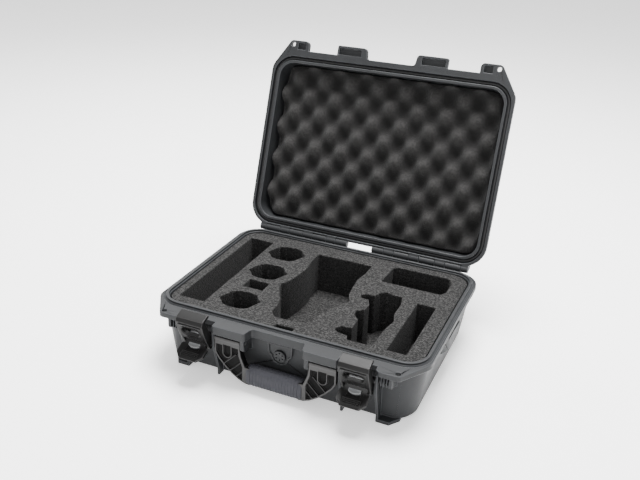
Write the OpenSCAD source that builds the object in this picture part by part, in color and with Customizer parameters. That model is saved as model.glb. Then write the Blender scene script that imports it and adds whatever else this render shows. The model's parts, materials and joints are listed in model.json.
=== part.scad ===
// Hard carrying case with a cut foam insert, for a folding camera drone.
// It is drawn with the lid open on its stop, both latches open and the handle hanging.
// Origin: the middle of the underside.  X is the width, -Y is the front, +Z is up.

/* [Case] */
// Inside width of the base
inner_w = 335; // [332:1:340]
// Inside depth of the base, front to back
inner_d = 234; // [232:1:238]
// Height of the rim face of the base
rim_z = 80; // [79:0.5:81]
// Height of the case with the lid shut
closed_h = 119; // [116:1:124]
// Wall thickness of both shells
wall = 4; // [3.5:0.5:4.5]
// Inside corner radius, seen from above
corner_r = 24; // [20:1:28]

/* [Hinge] */
// How far the lid is swung open, in degrees from shut
open_angle = 108.8; // [95:0.1:112]
// Radius of the hinge pins
hinge_pin_r = 1.6; // [1.4:0.1:1.8]
// Outer radius of the hinge knuckles
knuckle_r = 5; // [4.5:0.1:5.2]

/* [Latches] */
// How far an open claw leans out from shut, in degrees
claw_open = 21; // [15:1:24]
// How far an open lever stands out from its claw, in degrees
lever_open = 81; // [60:1:84]
// Width of a latch
latch_w = 36; // [32:1:38]
// Radius of the latch pins
latch_pin_r = 2; // [1.6:0.1:2.2]

/* [Handle] */
// Length of the rubber grip
grip_len = 74; // [66:1:78]
// Height of the grip's section
grip_h = 25; // [22:1:26]
// Radius of the handle pins
handle_pin_r = 2; // [1.6:0.1:2.2]

/* [Foam] */
// Top of the cut foam block
foam_top = 79; // [77:0.5:79.5]
// Thickness of the pad under the cut foam
pad_t = 18; // [12:1:24]
// Depth of the lid foam, peaks included
lid_foam_t = 23; // [18:1:26]

/* [Hidden] */

$fn = 48;
EPS = 0.01;
FIT = 0.05;                              // radial play of every pin that turns

// Plan of the base and lid rims
half_w = inner_w / 2;
half_d = inner_d / 2;
side_x = half_w + 9;                     // outer face of the side rims
back_y = half_d + 9;                     // outer face of the back rims
recess_y = -(half_d + 12.5);             // rim edge between the front blocks
front_y = -(half_d + 27.5);              // face of the front blocks and the ears
base_notch_y = -(half_d + 17.5);         // rim edge behind each open latch
lid_notch_y = -(half_d + 14);            // rim edge that a claw grips
block_in = 31;                           // inner end of a front block
block_out = 80;                          // outer end of a front block
ear_in = 124;                            // inner end of a corner ear
lock_hole_x = 148.8;                     // padlock holes
lock_hole_y = -(half_d + 21.7);
lock_hole_r = 3.2;
foot_front_y = -(half_d + 11.5);         // front of the feet and of the ribs' lower ends
outer_corner_r = corner_r + 8;

// Heights
wall_out = wall + 0.5;                   // outer face of the body from the inner one
side_lean = 10;                          // how much the end walls lean in at the bottom
flange_t = 6.7;
block_t = 11.3;
ridge_h = 3.3;
lid_rim_z = rim_z + 0.4;
lid_flange_t = 6.8;

// Hinge
hinge_y = half_d + 11.9;
hinge_z = rim_z + 4.2;
hinge_in = 18.8;                         // inner end of each hinge
lid_knuckle_w = 14;
knuckle_pitch = 37;
knuckle_gap = 0.5;
first_lid_knuckle = 36.8;
end_knuckle_w = 9.5;                     // the outermost lid knuckle is shorter
lid_knuckles = [for (i = [0:3]) [
    first_lid_knuckle + knuckle_pitch * i, i == 3 ? end_knuckle_w : lid_knuckle_w]];
base_knuckles = concat(
    [[hinge_in, first_lid_knuckle - knuckle_gap - hinge_in]],
    [for (i = [0:2]) [
        first_lid_knuckle + knuckle_pitch * i + lid_knuckle_w + knuckle_gap,
        knuckle_pitch - lid_knuckle_w - 2 * knuckle_gap]]
);
hinge_end = first_lid_knuckle + 3 * knuckle_pitch + end_knuckle_w;

// Latches
latch_x = 103.25;
rib_t = 3;
inner_rib_x = block_out + rib_t / 2;     // centre plane of the inboard ribs
outer_rib_x = ear_in + 1;                // centre plane of the outboard ribs
rib_front_y = front_y + 4.5;
claw_y = -(half_d + 16.5);               // claw pin
claw_z = 58;
lever_y = claw_y - 8;                    // lever pin, with the claw shut
lever_z = claw_z - 9;
claw_top_z = 93;
claw_front_y = -147;
lever_tip_z = 21;
cheek_t = 3.4;
lock_travel = 3.5;
lock_top_z = lever_z - 4.7;              // upper edge of the slide lock, with the lever shut
lock_h = 5.8;
lock_w = 15;                             // width of the slide lock

// Handle
handle_y = -(half_d + 19.5);
handle_z = 62.5;
arm_in = 44.2;
arm_out = 78.6;
arm_front_y = handle_y - 4.5;
arm_back_y = handle_y + 4;
grip_y = -134;
grip_z = 20.5;

// Pressure valve
valve_z = 49.5;
valve_wall_y = -(half_d + wall_out);

// Foam
foam_bottom = wall + pad_t + 0.2;
foam_floor = foam_bottom + 11.8;         // where the two glued layers of cut foam meet
lid_foam_top = closed_h - wall - 0.2;
drone_x = -6;

shell_grey = [0.30, 0.31, 0.32];
latch_black = [0.10, 0.10, 0.10];
lock_grey = [0.66, 0.67, 0.67];
grip_grey = [0.27, 0.28, 0.30];
foam_grey = [0.24, 0.23, 0.22];
steel = [0.62, 0.62, 0.63];

// ---------------------------------------------------------------- outlines

// Points of an arc about a centre
function arc(c, r, a0, a1, n = 8) =
    [for (i = [0:n]) c + r * [cos(a0 + (a1 - a0) * i / n), sin(a0 + (a1 - a0) * i / n)]];

// A half outline, front centre to back centre, closed by its mirror image
function both_sides(half) =
    concat(half, [for (i = [len(half) - 1:-1:0]) [-half[i][0], half[i][1]]]);

// The rim: a recess in the middle, two blocks, the latch notches and the corner ears
function rim_half(notch_y) = concat(
    [[0, recess_y]],
    arc([block_in, recess_y - 4], 4, 90, 0),
    arc([block_in + 10, front_y + 5], 5, 180, 270),
    arc([block_out - 2, front_y + 2], 2, 270, 360, 4),
    [[block_out, notch_y], [ear_in, notch_y]],
    arc([ear_in + 6, front_y + 6], 6, 180, 270),
    arc([lock_hole_x, lock_hole_y], lock_hole_y - front_y, 270, 325, 5),
    [[side_x - 4, front_y + 32], [side_x - 0.8, front_y + 38], [side_x, front_y + 44]],
    arc([side_x - outer_corner_r, back_y - outer_corner_r], outer_corner_r, 0, 90, 10),
    [[0, back_y]]
);

module rim_plan(notch_y) {
    polygon(both_sides(rim_half(notch_y)));
}

// Rectangle with round corners, true arcs
module rounded(w, d, r) {
    square([w - 2 * r, d], center = true);
    square([w, d - 2 * r], center = true);
    for (sx = [-1, 1], sy = [-1, 1])
        translate([sx * (w / 2 - r), sy * (d / 2 - r)]) circle(r);
}

// The inner outline of the base, moved outwards by o
module inner_plan(o) {
    rounded(inner_w + 2 * o, inner_d + 2 * o, corner_r + o);
}

// A band that follows the inner outline
module band(o0, o1, z0, z1) {
    translate([0, 0, z0]) linear_extrude(z1 - z0)
        difference() {
            inner_plan(o1);
            inner_plan(o0);
        }
}

// A tapering block: its top outline, how much each side leans in (x, y), and the
// soft bottom edge (x, y, z)
module tub(w, d, r, z0, z1, lean, edge) {
    hull() {
        for (k = [[0, 1], [0.35, 0.35], [1, 0]])
            translate([0, 0, z0 + k[0] * edge[2]]) linear_extrude(EPS)
                rounded(w - 2 * lean[0] - 2 * k[1] * edge[0],
                    d - 2 * lean[1] - 2 * k[1] * edge[1], r, $fn = 32);
        translate([0, 0, z1 - EPS]) linear_extrude(EPS) rounded(w, d, r, $fn = 32);
    }
}

// Rod along X
module rod_x(x0, x1, y, z, r) {
    translate([x0, y, z]) rotate([0, 90, 0]) cylinder(r = r, h = x1 - x0);
}

// A profile in (y, z), extruded along X
module slab_x(x0, x1, points) {
    translate([x0, 0, 0]) rotate([90, 0, 90]) linear_extrude(x1 - x0) polygon(points);
}

// Left and right copies of a right-hand piece
module pair() {
    for (s = [0, 1]) mirror([s, 0, 0]) children();
}

// Keeps a right-hand piece or mirrors it to the left
module on_side(side) {
    mirror([side == "left" ? 1 : 0, 0, 0]) children();
}

// Swings the shut lid open
module open_lid() {
    translate([0, hinge_y, hinge_z]) rotate([-open_angle, 0, 0])
        translate([0, -hinge_y, -hinge_z]) children();
}

// Swings a shut claw, and what rides on it, open
module open_claw() {
    translate([0, claw_y, claw_z]) rotate([claw_open, 0, 0])
        translate([0, -claw_y, -claw_z]) children();
}

// Swings a shut lever out from its claw
module open_lever() {
    open_claw() translate([0, lever_y, lever_z]) rotate([-lever_open, 0, 0])
        translate([0, -lever_y, -lever_z]) children();
}

// ------------------------------------------------------------------- base

// Web and barrel of one base knuckle
module base_knuckle(x0, w) {
    slab_x(x0, x0 + w, [
        [hinge_y - 4, hinge_z - 2], [hinge_y - 4, rim_z], [hinge_y - 7, rim_z - 1],
        [hinge_y - 7, rim_z - 16], [hinge_y - 3.5, rim_z - 15], [hinge_y + 4.4, hinge_z - 2.2]]);
    rod_x(x0, x0 + w, hinge_y, hinge_z, knuckle_r);
}

// Upright rib beside a latch
module latch_rib(x) {
    slab_x(x - rib_t / 2, x + rib_t / 2, [
        [-half_d - 1, rim_z - 6], [rib_front_y, rim_z - 6], [rib_front_y, claw_z - 8],
        [foot_front_y, 10], [foot_front_y, 1], [-half_d - 1, 1]]);
}

// Foot under a front corner, beside the outboard rib
module corner_foot() {
    linear_extrude(4.5) polygon([[ear_in, -half_d + 5], [ear_in, foot_front_y],
        [140, foot_front_y], [143, -half_d - 7], [149, -half_d + 1], [149, -half_d + 8]]);
}

// Ear under a front block that holds the inner end of a handle pin
module handle_ear() {
    slab_x(arm_in - 5.4, arm_in - 0.5, concat(
        [[-half_d - 2, rim_z - 8], [handle_y - 5.5, rim_z - 8]],
        arc([handle_y, handle_z - 5], 5.5, 180, 300, 8),
        [[-half_d - 2, handle_z - 16]]));
}

// Moulded ledge at each end of the case, for two hands
module lift_ledge() {
    translate([0, 0, 49]) linear_extrude(17)
        polygon([[half_w - 4, -36], [half_w + 3, -33], [half_w + 7.5, -22], [half_w + 8, 22],
            [half_w + 3.5, 34], [half_w - 4, 37]]);
}

module base_outside() {
    tub(inner_w + 2 * wall_out, inner_d + 2 * wall_out, corner_r + 4, 0, rim_z - 4,
        [side_lean, 2], [8, 5, 6]);
    translate([0, 0, rim_z - flange_t]) linear_extrude(flange_t) rim_plan(base_notch_y);
    // deeper skirt on the front blocks and the recess between them
    translate([0, 0, rim_z - block_t]) linear_extrude(block_t) intersection() {
        rim_plan(base_notch_y);
        translate([-block_out, front_y - 1]) square([2 * block_out, 30]);
    }
    band(0.2, 3.7, rim_z - 2, rim_z + ridge_h);
    pair() {
        latch_rib(inner_rib_x);
        latch_rib(outer_rib_x);
        handle_ear();
        corner_foot();
        lift_ledge();
        for (k = base_knuckles) base_knuckle(k[0], k[1]);
        // thin gussets and a rounded tab under the corner ear
        for (i = [0:2])
            translate([129.5 + 3.4 * i, -half_d - 22, rim_z - 22]) cube([1.2, 20, 16]);
        slab_x(139.5, 143.5, concat([[-half_d - 2, rim_z - 6], [front_y + 4, rim_z - 6]],
            arc([front_y + 7.5, rim_z - 19], 3.5, 180, 300, 6), [[-half_d - 2, rim_z - 30]]));
    }
}

module base_shell() color(shell_grey) {
    difference() {
        base_outside();
        // the room inside
        tub(inner_w, inner_d, corner_r, wall, rim_z + ridge_h + 1, [side_lean, 1.5], [6, 4, 6]);
        // groove outside the ridge
        band(4.6, 6.8, rim_z - 1.4, rim_z + 1);
        pair() {
            translate([lock_hole_x, lock_hole_y, rim_z - 30]) cylinder(r = lock_hole_r, h = 40);
            rod_x(hinge_in - 1, hinge_end + 1, hinge_y, hinge_z, hinge_pin_r + FIT);
            for (k = lid_knuckles)
                rod_x(k[0] - 0.5, k[0] + k[1] + 0.5, hinge_y, hinge_z, knuckle_r + 0.8);
            rod_x(block_out - 1, outer_rib_x + 3, claw_y, claw_z, latch_pin_r + FIT);
            rod_x(arm_in - 7, inner_rib_x + 3, handle_y, handle_z, handle_pin_r + FIT);
            // recess above the corner foot
            translate([ear_in + 4, -half_d - 8, 4.5]) cube([21, 7.5, 4]);
        }
        // bore of the pressure valve
        translate([0, valve_wall_y + 10, valve_z]) rotate([90, 0, 0]) cylinder(r = 6, h = 20);
    }
}

// ------------------------------------------------------------------- foam

// Half widths of the drone's cut-out, back to front
drone_half = [[88, 39.5], [64, 39.5], [44, 36.5], [24, 38], [2, 41], [-13, 48], [-24, 45.5],
    [-46, 33], [-62, 28], [-80, 27], [-90, 19]];
// Half of a battery's outline; the other half is its point reflection
battery_half = [[-26, -6], [-21.5, 6], [-18, 15], [-10, 19.8], [6, 20.5], [15, 18], [20, 11]];
battery_at = [[-86, 69], [-84.5, 9.5], [-81.5, -73]];
controller = [[49, 6], [54, 12], [66, 12], [70, 22], [78, 28], [86, 25], [99, 25], [103, 6],
    [103, -18], [108, -35], [104, -60], [104, -90], [98, -98], [72, -98], [70, -90], [57, -88],
    [51, -83], [56, -74], [69, -73], [68, -50], [60, -43], [58, -33], [67, -26], [68, -12],
    [62, 1], [54, 0]];
charger = [[60, 54], [140, 54], [145, 62], [146, 88], [141, 99], [136, 101], [70, 101], [62, 97]];

module drone_plan() {
    polygon(concat([for (p = drone_half) [drone_x - p[1], p[0]]],
        [for (i = [len(drone_half) - 1:-1:0])
            [drone_x + drone_half[i][1], drone_half[i][0]]]));
}

module battery_plan() {
    polygon(concat(battery_half, [for (p = battery_half) -p]));
}

// A cut-out from its floor up through the top of the foam
module cut_out(floor_z) {
    translate([0, 0, floor_z]) linear_extrude(foam_top - floor_z + 1) children();
}

// A slice of the foam, which follows the lean of the walls
module foam_slice(z) {
    k = (z - foam_bottom) / (foam_top - foam_bottom);
    translate([0, 0, z]) linear_extrude(EPS)
        rounded(inner_w - 20 + 15.2 * k, inner_d - 6 + 2.8 * k, corner_r, $fn = 32);
}

// The cut-outs that go right through to the pad
module deep_cuts(floor_z) {
    cut_out(floor_z) drone_plan();
    cut_out(floor_z) polygon(controller);
    cut_out(floor_z) translate([121, -98]) square([24, 116]);
}

// Upper layer: every cut-out goes through it
module base_foam() color(foam_grey) {
    difference() {
        hull() {
            foam_slice(foam_floor);
            foam_slice(foam_top - EPS);
        }
        deep_cuts(foam_floor - 1);
        cut_out(foam_floor - 1) translate([-154, -97]) square([35, 189]);
        for (p = battery_at) cut_out(foam_floor - 1) translate(p) battery_plan();
        cut_out(foam_floor - 1) translate([-96, -40]) square([28.5, 20]);
        cut_out(foam_floor - 1) polygon(charger);
        // finger notch at the front edge
        cut_out(foam_top - 6) translate([-15.3, -half_d + 4.5]) square([24, 8]);
    }
}

// Lower layer: the floor of the cut-outs that don't reach the pad
module base_foam_lower() color(foam_grey) {
    difference() {
        hull() {
            foam_slice(foam_bottom);
            foam_slice(foam_floor - 0.1 - EPS);
        }
        deep_cuts(foam_bottom - 1);
    }
}

module base_foam_pad() color(foam_grey) {
    translate([0, 0, wall + 0.1]) linear_extrude(pad_t)
        rounded(inner_w - 2 * side_lean - 14, inner_d - 16, corner_r);
}

// -------------------------------------------------------------------- lid

// Barrel and web of one lid knuckle, with the lid shut
module lid_knuckle(x0, w) {
    slab_x(x0, x0 + w, [
        [hinge_y - 6, lid_rim_z], [hinge_y - 6, hinge_z + 12], [hinge_y - 1.5, hinge_z + 12],
        [hinge_y + 4.6, hinge_z + 1.5], [hinge_y, hinge_z - 4], [hinge_y - 3, lid_rim_z]]);
    rod_x(x0, x0 + w, hinge_y, hinge_z, knuckle_r);
}

// A tray pocket in a front block or an ear, cut from the rim face
module lid_pocket(x0, x1) {
    translate([x0, front_y + 3, lid_rim_z - 1]) cube([x1 - x0, 9.5, 5.8]);
}

module lid_outside() {
    tub_h = closed_h - lid_rim_z;
    translate([0, 0, closed_h]) mirror([0, 0, 1])
        tub(inner_w + 2 * wall_out, inner_d + 2 * wall_out, corner_r + 4, 0, tub_h,
            [2, 2], [9, 9, 9]);
    translate([0, 0, lid_rim_z]) linear_extrude(lid_flange_t) rim_plan(lid_notch_y);
    // raised panel on the outside of the lid
    translate([0, 0, closed_h - 2]) linear_extrude(3)
        difference() {
            rounded(inner_w - 60, inner_d - 56, 22);
            rounded(inner_w - 72, inner_d - 68, 16);
        }
    pair() for (k = lid_knuckles) lid_knuckle(k[0], k[1]);
}

module lid_shell_shut() {
    difference() {
        lid_outside();
        // the room inside, behind the inner ridge
        translate([0, 0, closed_h - wall]) mirror([0, 0, 1])
            tub(inner_w - 6.2, inner_d - 6.2, corner_r - 3, 0, closed_h, [1.5, 1.5], [5, 5, 5]);
        // the ridge between the room and the seal channel stops short of the foam
        translate([0, 0, lid_rim_z - 1]) linear_extrude(1.4) inner_plan(-0.6);
        // seal channel
        band(-0.6, 5, lid_rim_z - 1, rim_z + 6.5);
        pair() {
            translate([lock_hole_x, lock_hole_y, lid_rim_z - 5])
                cylinder(r = lock_hole_r, h = 30);
            rod_x(hinge_in - 1, hinge_end + 1, hinge_y, hinge_z, hinge_pin_r + FIT);
            for (k = base_knuckles)
                rod_x(k[0] - 0.5, k[0] + k[1] + 0.5, hinge_y, hinge_z, knuckle_r + 1);
            lid_pocket(block_in + 13, block_out - 3);
            lid_pocket(ear_in + 5, lock_hole_x - 8);
        }
    }
}

module lid_shell() color(shell_grey) open_lid() lid_shell_shut();

// Ring in the bottom of the seal channel
module lid_seal() color(latch_black) open_lid()
    band(0.1, 4.3, rim_z + ridge_h + 0.3, rim_z + 6.4);

module lid_foam() color(foam_grey) open_lid()
    translate([0, 0, lid_foam_top]) mirror([0, 0, 1])
        tub(inner_w - 10.4, inner_d - 10.4, corner_r - 3, 0, lid_foam_t, [0.4, 0.4], [5, 5, 5]);

// ------------------------------------------------------------- hinge pins

module hinge_pin(side) color(steel) on_side(side)
    rod_x(hinge_in + 0.5, hinge_end - 0.5, hinge_y, hinge_z, hinge_pin_r);

module hinge_pin_left() hinge_pin("left");
module hinge_pin_right() hinge_pin("right");

// ----------------------------------------------------------------- handle

// One arm, right-hand, in (x, z): a crescent from the pin down to the grip
arm_outer = [[arm_out, handle_z - 1], [arm_out, 44], [74, 36], [66, 27], [56, 18.5],
    [47, 12.5], [38, 9], [32, 8.5]];
arm_inner = [[32, 32], [37.5, 32], [40, 38], [43, 46], [arm_in, 54], [arm_in, handle_z - 1]];

module arm_plan() {
    polygon(concat(arm_outer, arm_inner));
}

// Upright plate in (x, z), extruded along Y
module plate_y(y0, y1) {
    translate([0, y1, 0]) rotate([90, 0, 0]) linear_extrude(y1 - y0) children();
}

module handle_arm() {
    plate_y(arm_front_y, arm_back_y) arm_plan();
    rod_x(arm_in, arm_out, handle_y, handle_z, 5);
}

// Pockets that leave the edge ridges, the loop rib and the cross ribs standing
module arm_pockets() {
    plate_y(arm_front_y - 1, arm_front_y + 2.6) {
        difference() {
            polygon([[76, 55], [76, 44], [72, 37.5], [64, 28.5], [55, 20.5], [47.5, 15.5],
                [42, 13], [41.5, 31], [43.5, 37], [46.5, 46], [47, 55]]);
            // loop rib
            polygon(concat([[68, 56]], arc([61.5, 45], 6.5, 0, -180, 10), [[55, 56]]));
            // cross ribs
            for (p = [[60, 36], [51, 29], [44, 22]])
                translate(p) rotate(45) square([1.4, 30], center = true);
        }
        polygon(concat([[66.2, 56]], arc([61.5, 45], 4.7, 0, -180, 10), [[56.8, 56]]));
    }
}

module handle_frame() color(latch_black) {
    difference() {
        union() {
            pair() handle_arm();
            // bar through the grip
            translate([-34, grip_y - 4, grip_z - 6]) cube([68, 8, 12]);
        }
        pair() {
            arm_pockets();
            rod_x(arm_in - 1, arm_out + 1, handle_y, handle_z, handle_pin_r + FIT);
        }
    }
}

// Rounded section of the grip in (y, z)
module grip_section(grow) {
    translate([grip_y, grip_z]) rounded(18 + 2 * grow, grip_h + 2 * grow, 7.5 + grow);
}

module handle_grip() color(grip_grey) {
    rib_n = 16;
    rib_pitch = (grip_len - 12) / rib_n;
    difference() {
        union() {
            translate([-grip_len / 2, 0, 0]) rotate([90, 0, 90])
                linear_extrude(grip_len) grip_section(0);
            for (i = [0:rib_n])
                translate([-grip_len / 2 + 5.2 + rib_pitch * i, 0, 0]) rotate([90, 0, 90])
                    linear_extrude(1.6) grip_section(0.6);
        }
        // room for the bar and for the feet of the arms
        translate([-34.02, grip_y - 4.02, grip_z - 6.02]) cube([68.04, 8.04, 12.04]);
        pair() translate([31.9, arm_front_y - 0.1, -1])
            cube([30, arm_back_y - arm_front_y + 0.2, 50]);
    }
}

module handle_pin(side) color(steel) on_side(side)
    rod_x(arm_in - 5.2, inner_rib_x + rib_t / 2 - 0.2, handle_y, handle_z, handle_pin_r);

module handle_pin_left() handle_pin("left");
module handle_pin_right() handle_pin("right");

// ---------------------------------------------------------------- latches

// Outline of a claw's cheek in (y, z), with the claw shut
cheek = [[-half_d - 12, 88.5], [-half_d - 12, 91.5], [-half_d - 14, claw_top_z],
    [claw_front_y + 4, claw_top_z], [claw_front_y, claw_top_z - 4], [claw_front_y - 0.6, 74],
    [claw_front_y, 60], [claw_front_y + 1.5, 49], [claw_front_y + 3, 45.5], [lever_y + 2, 44.8],
    [claw_y - 2, 52.5], [claw_y + 4.2, 55.5], [claw_y + 4.4, 61], [claw_y - 3, 65],
    [claw_y - 4, 84], [-half_d - 20.5, 88.5]];
// Outline of the plate between the cheeks
jaw_plate = [[-half_d - 12, 88.5], [-half_d - 12, 91.5], [-half_d - 14, claw_top_z],
    [claw_front_y + 4, claw_top_z], [claw_front_y, claw_top_z - 4], [claw_front_y - 0.6, 74],
    [claw_front_y, 61], [claw_front_y + 4, 61], [claw_front_y + 4.6, 74],
    [claw_front_y + 4.6, 84], [-half_d - 20.5, 88.5]];

// Oval window in (x, z)
module window_plan() {
    translate([-6, 0]) circle(6.2);
    translate([6, 0]) circle(6.2);
    square([12, 12.4], center = true);
}

module claw_shut() {
    half = latch_w / 2;
    difference() {
        union() {
            slab_x(latch_x - half, latch_x + half, jaw_plate);
            for (x0 = [latch_x - half, latch_x + half - cheek_t]) slab_x(x0, x0 + cheek_t, cheek);
            for (x0 = [latch_x - half, latch_x + half - cheek_t - 3])
                rod_x(x0, x0 + cheek_t + 3, claw_y, claw_z, 4.6);
        }
        translate([latch_x, claw_front_y + 8, 75.5]) rotate([90, 0, 0])
            linear_extrude(12) window_plan();
        rod_x(latch_x - 30, latch_x + 30, claw_y, claw_z, latch_pin_r + FIT);
        rod_x(latch_x - 30, latch_x + 30, lever_y, lever_z, latch_pin_r - 0.5 + FIT);
    }
}

module latch_claw(side) color(latch_black) on_side(side) open_claw() claw_shut();
module latch_claw_left() latch_claw("left");
module latch_claw_right() latch_claw("right");

module latch_pin(side) color(steel) on_side(side)
    rod_x(block_out + 0.2, outer_rib_x + rib_t / 2 - 0.2, claw_y, claw_z, latch_pin_r);
module latch_pin_left() latch_pin("left");
module latch_pin_right() latch_pin("right");

module lever_pin(side) color(steel) on_side(side) open_claw()
    rod_x(latch_x - latch_w / 2 + 0.3, latch_x + latch_w / 2 - 0.3, lever_y, lever_z,
        latch_pin_r - 0.5);
module lever_pin_left() lever_pin("left");
module lever_pin_right() lever_pin("right");

// The lever, shut: narrow between the cheeks, full width below them
lever_plate = [[lever_y - 4.4, lever_z + 1], [lever_y - 4.8, lever_z - 12],
    [lever_y - 6.5, lever_tip_z + 2], [lever_y - 5.5, lever_tip_z], [lever_y - 2.6, lever_tip_z + 1],
    [lever_y - 0.6, lever_z - 14], [lever_y + 2, lever_z - 3]];

module lever_shut() {
    neck = latch_w / 2 - cheek_t - 0.5;
    difference() {
        union() {
            rod_x(latch_x - neck, latch_x + neck, lever_y, lever_z, 4);
            intersection() {
                slab_x(latch_x - latch_w / 2, latch_x + latch_w / 2, lever_plate);
                translate([latch_x, 0, 0]) plate_y(lever_y - 20, lever_y + 20) polygon([
                    [-neck, lever_z + 5], [-neck, 43.6], [-latch_w / 2, 41.5],
                    [-latch_w / 2, lever_tip_z + 8], [-10, lever_tip_z - 1],
                    [10, lever_tip_z - 1], [latch_w / 2, lever_tip_z + 8], [latch_w / 2, 41.5],
                    [neck, 43.6], [neck, lever_z + 5]]);
            }
        }
        rod_x(latch_x - 30, latch_x + 30, lever_y, lever_z, latch_pin_r - 0.5 + FIT);
        // slot for the slide lock
        translate([latch_x - lock_w / 2 - 0.5, lever_y - 12,
            lock_top_z - lock_h - lock_travel - 0.4])
            cube([lock_w + 1, 10.2, lock_h + lock_travel + 0.8]);
        // shallow thumb panel
        translate([latch_x - 11, lever_y - 12, lever_tip_z + 4.5]) cube([22, 6.6, 6.5]);
    }
}

module latch_lever(side) color(latch_black) on_side(side) open_lever() lever_shut();
module latch_lever_left() latch_lever("left");
module latch_lever_right() latch_lever("right");

// The slide lock, up against the pin: a plate with a rounded lower edge
module slide_lock(side) color(lock_grey) on_side(side) open_lever()
    translate([latch_x, 0, 0]) plate_y(lever_y - 6.4, lever_y - 2)
        intersection() {
            translate([0, lock_top_z + lock_w / 2]) circle(lock_h + lock_w / 2);
            translate([-lock_w / 2, lock_top_z - lock_h]) square([lock_w, lock_h]);
        }
module slide_lock_left() slide_lock("left");
module slide_lock_right() slide_lock("right");

// ------------------------------------------------------------------ valve

// Shield-shaped bezel on the front wall
module valve_bezel() color(latch_black) {
    shield = concat([[16.5, valve_z + 16], [15.5, valve_z + 2]],
        arc([0, valve_z], 12, -10, -170, 14), [[-15.5, valve_z + 2], [-16.5, valve_z + 16]]);
    inner = concat([[14, valve_z + 13.8], [13.2, valve_z + 2]],
        arc([0, valve_z], 9.8, -5, -175, 14), [[-13.2, valve_z + 2], [-14, valve_z + 13.8]]);
    difference() {
        plate_y(valve_wall_y - 3.4, valve_wall_y - 0.1) polygon(shield);
        plate_y(valve_wall_y - 6, valve_wall_y - 1.6) polygon(inner);
        plate_y(valve_wall_y - 6, valve_wall_y + 1) translate([0, valve_z]) circle(7.6);
    }
}

// Round vented cap, proud of the bezel
module valve_cap() color(latch_black) {
    difference() {
        plate_y(valve_wall_y - 4.4, valve_wall_y - 0.1) translate([0, valve_z]) circle(7.3);
        for (a = [30:60:330])
            plate_y(valve_wall_y - 6, valve_wall_y - 2.4)
                translate([0, valve_z]) rotate(a) translate([3.2, -0.5]) square([2.8, 1]);
    }
}

// Barrel of the valve in the wall's bore
module valve_body() color(latch_black) {
    difference() {
        plate_y(valve_wall_y - 0.05, -half_d + 0.6) translate([0, valve_z]) circle(5.9);
        plate_y(valve_wall_y - 1, valve_wall_y + 3.5) translate([0, valve_z]) circle(3.4);
    }
}

// Vent membrane at the bottom of the barrel
module valve_membrane() color(foam_grey)
    plate_y(valve_wall_y + 2.2, valve_wall_y + 2.9) translate([0, valve_z]) circle(3.3);

// ------------------------------------------------------------------ nodes

base_shell();
base_foam();
base_foam_lower();
base_foam_pad();
lid_shell();
lid_seal();
lid_foam();
hinge_pin_left();
hinge_pin_right();
handle_frame();
handle_grip();
handle_pin_left();
handle_pin_right();
latch_claw_left();
latch_claw_right();
latch_lever_left();
latch_lever_right();
slide_lock_left();
slide_lock_right();
latch_pin_left();
latch_pin_right();
lever_pin_left();
lever_pin_right();
valve_bezel();
valve_cap();
valve_body();
valve_membrane();
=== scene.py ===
# Finish of a hard carrying case with a foam insert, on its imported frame.
# Lengths are in metres; +X is the width, -Y the front and +Z up.
import json
import math

import bmesh
import bpy
from bpy.props import FloatProperty, FloatVectorProperty, IntProperty, PointerProperty
from bpy.types import Operator, Panel, PropertyGroup
from mathutils import Matrix, Vector


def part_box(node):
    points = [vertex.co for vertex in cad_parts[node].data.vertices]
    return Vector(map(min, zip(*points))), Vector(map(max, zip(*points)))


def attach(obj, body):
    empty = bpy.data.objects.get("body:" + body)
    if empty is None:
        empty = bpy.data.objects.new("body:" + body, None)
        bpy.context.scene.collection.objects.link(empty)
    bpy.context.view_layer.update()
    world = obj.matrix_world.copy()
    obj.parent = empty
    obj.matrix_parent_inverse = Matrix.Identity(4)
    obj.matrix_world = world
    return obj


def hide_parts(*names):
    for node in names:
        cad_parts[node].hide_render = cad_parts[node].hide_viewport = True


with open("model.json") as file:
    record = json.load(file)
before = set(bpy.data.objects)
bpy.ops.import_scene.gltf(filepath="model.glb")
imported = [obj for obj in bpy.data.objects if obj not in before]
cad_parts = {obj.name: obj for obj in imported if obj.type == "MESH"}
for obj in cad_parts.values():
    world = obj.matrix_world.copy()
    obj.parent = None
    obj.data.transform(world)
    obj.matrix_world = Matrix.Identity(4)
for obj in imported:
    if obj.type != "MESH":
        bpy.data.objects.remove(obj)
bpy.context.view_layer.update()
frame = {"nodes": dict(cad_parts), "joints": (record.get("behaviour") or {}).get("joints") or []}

bl_info = {
    "name": "Hard Carrying Case",
    "version": (1, 0, 0),
    "blender": (4, 5, 0),
    "location": "View3D > Sidebar > Case",
    "description": "Makes the shells, foam, latches, handle and seal of a hard carrying case",
    "category": "Object",
}

JOINTS = {joint["name"]: joint for joint in frame["joints"]}
LID_PIVOT = Matrix.Translation(JOINTS["lid_hinge"]["pos_m"])
LID_SWING = math.radians(JOINTS["lid_hinge"]["range_deg"][1])
LID_OPEN = LID_PIVOT @ Matrix.Rotation(-LID_SWING, 4, "X") @ LID_PIVOT.inverted()
SIDES = ("left", "right")
MERGE_GAP = 3e-6            # points of a frame node closer than this are one
SLIVER_EDGE = 2e-6          # edges shorter than this are dissolved
FLAT_COSINE = 0.99998       # normals closer than this lie in one flat
LATCH_X = 0.10325           # centre of each latch from the middle
CLAW_FACE_Y = -0.1474       # front of a shut claw
LEVER_FACE_Y = -0.1469      # front of a shut lever
UPRIGHT = Matrix.Rotation(math.pi / 2, 4, "X")    # turns a bar's top to the front


# ------------------------------------------------------------------ settings

def colour(name, description, value):
    """A colour setting of the case."""
    return FloatVectorProperty(name=name, description=description, default=value, size=3,
                               min=0.0, max=1.0, subtype="COLOR")


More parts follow.
